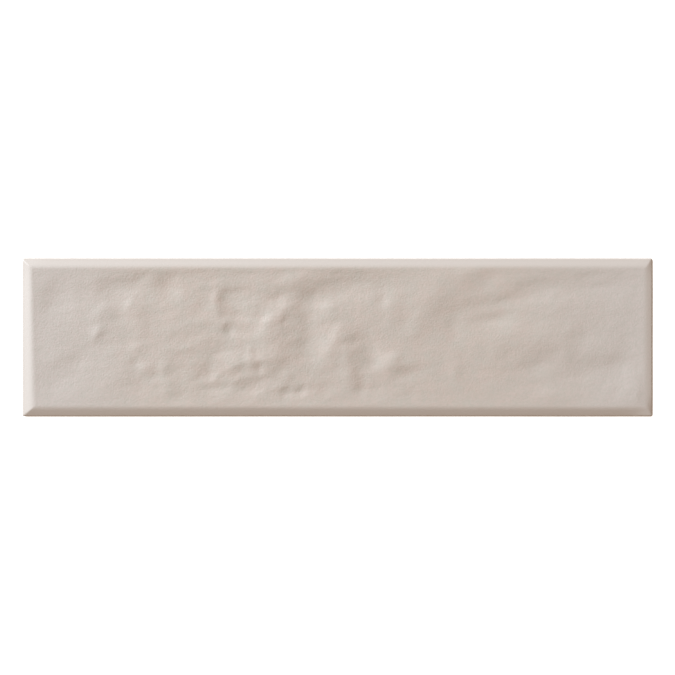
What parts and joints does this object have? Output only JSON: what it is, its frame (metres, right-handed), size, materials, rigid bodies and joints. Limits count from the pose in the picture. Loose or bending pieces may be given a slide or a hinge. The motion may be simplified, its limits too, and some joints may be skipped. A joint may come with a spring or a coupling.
{
  "type": "wall tile",
  "caption": "Long rectangular glazed ceramic wall tile with sloped cushion edges, a softly hammered matt face and a waffle back that keys into adhesive.",
  "frame": {"origin": "middle of the back, on the plane that the ribs of the back rest on", "axes": "+X along the tile's length, +Y across its width, +Z out of the glazed face"},
  "size_m": [0.298, 0.075, 0.0093],
  "materials": {
    "glaze": "matt warm greige glaze over a buff fired body"
  },
  "bodies": {
    "root": {"tile": "glaze"}
  },
  "joints": []
}
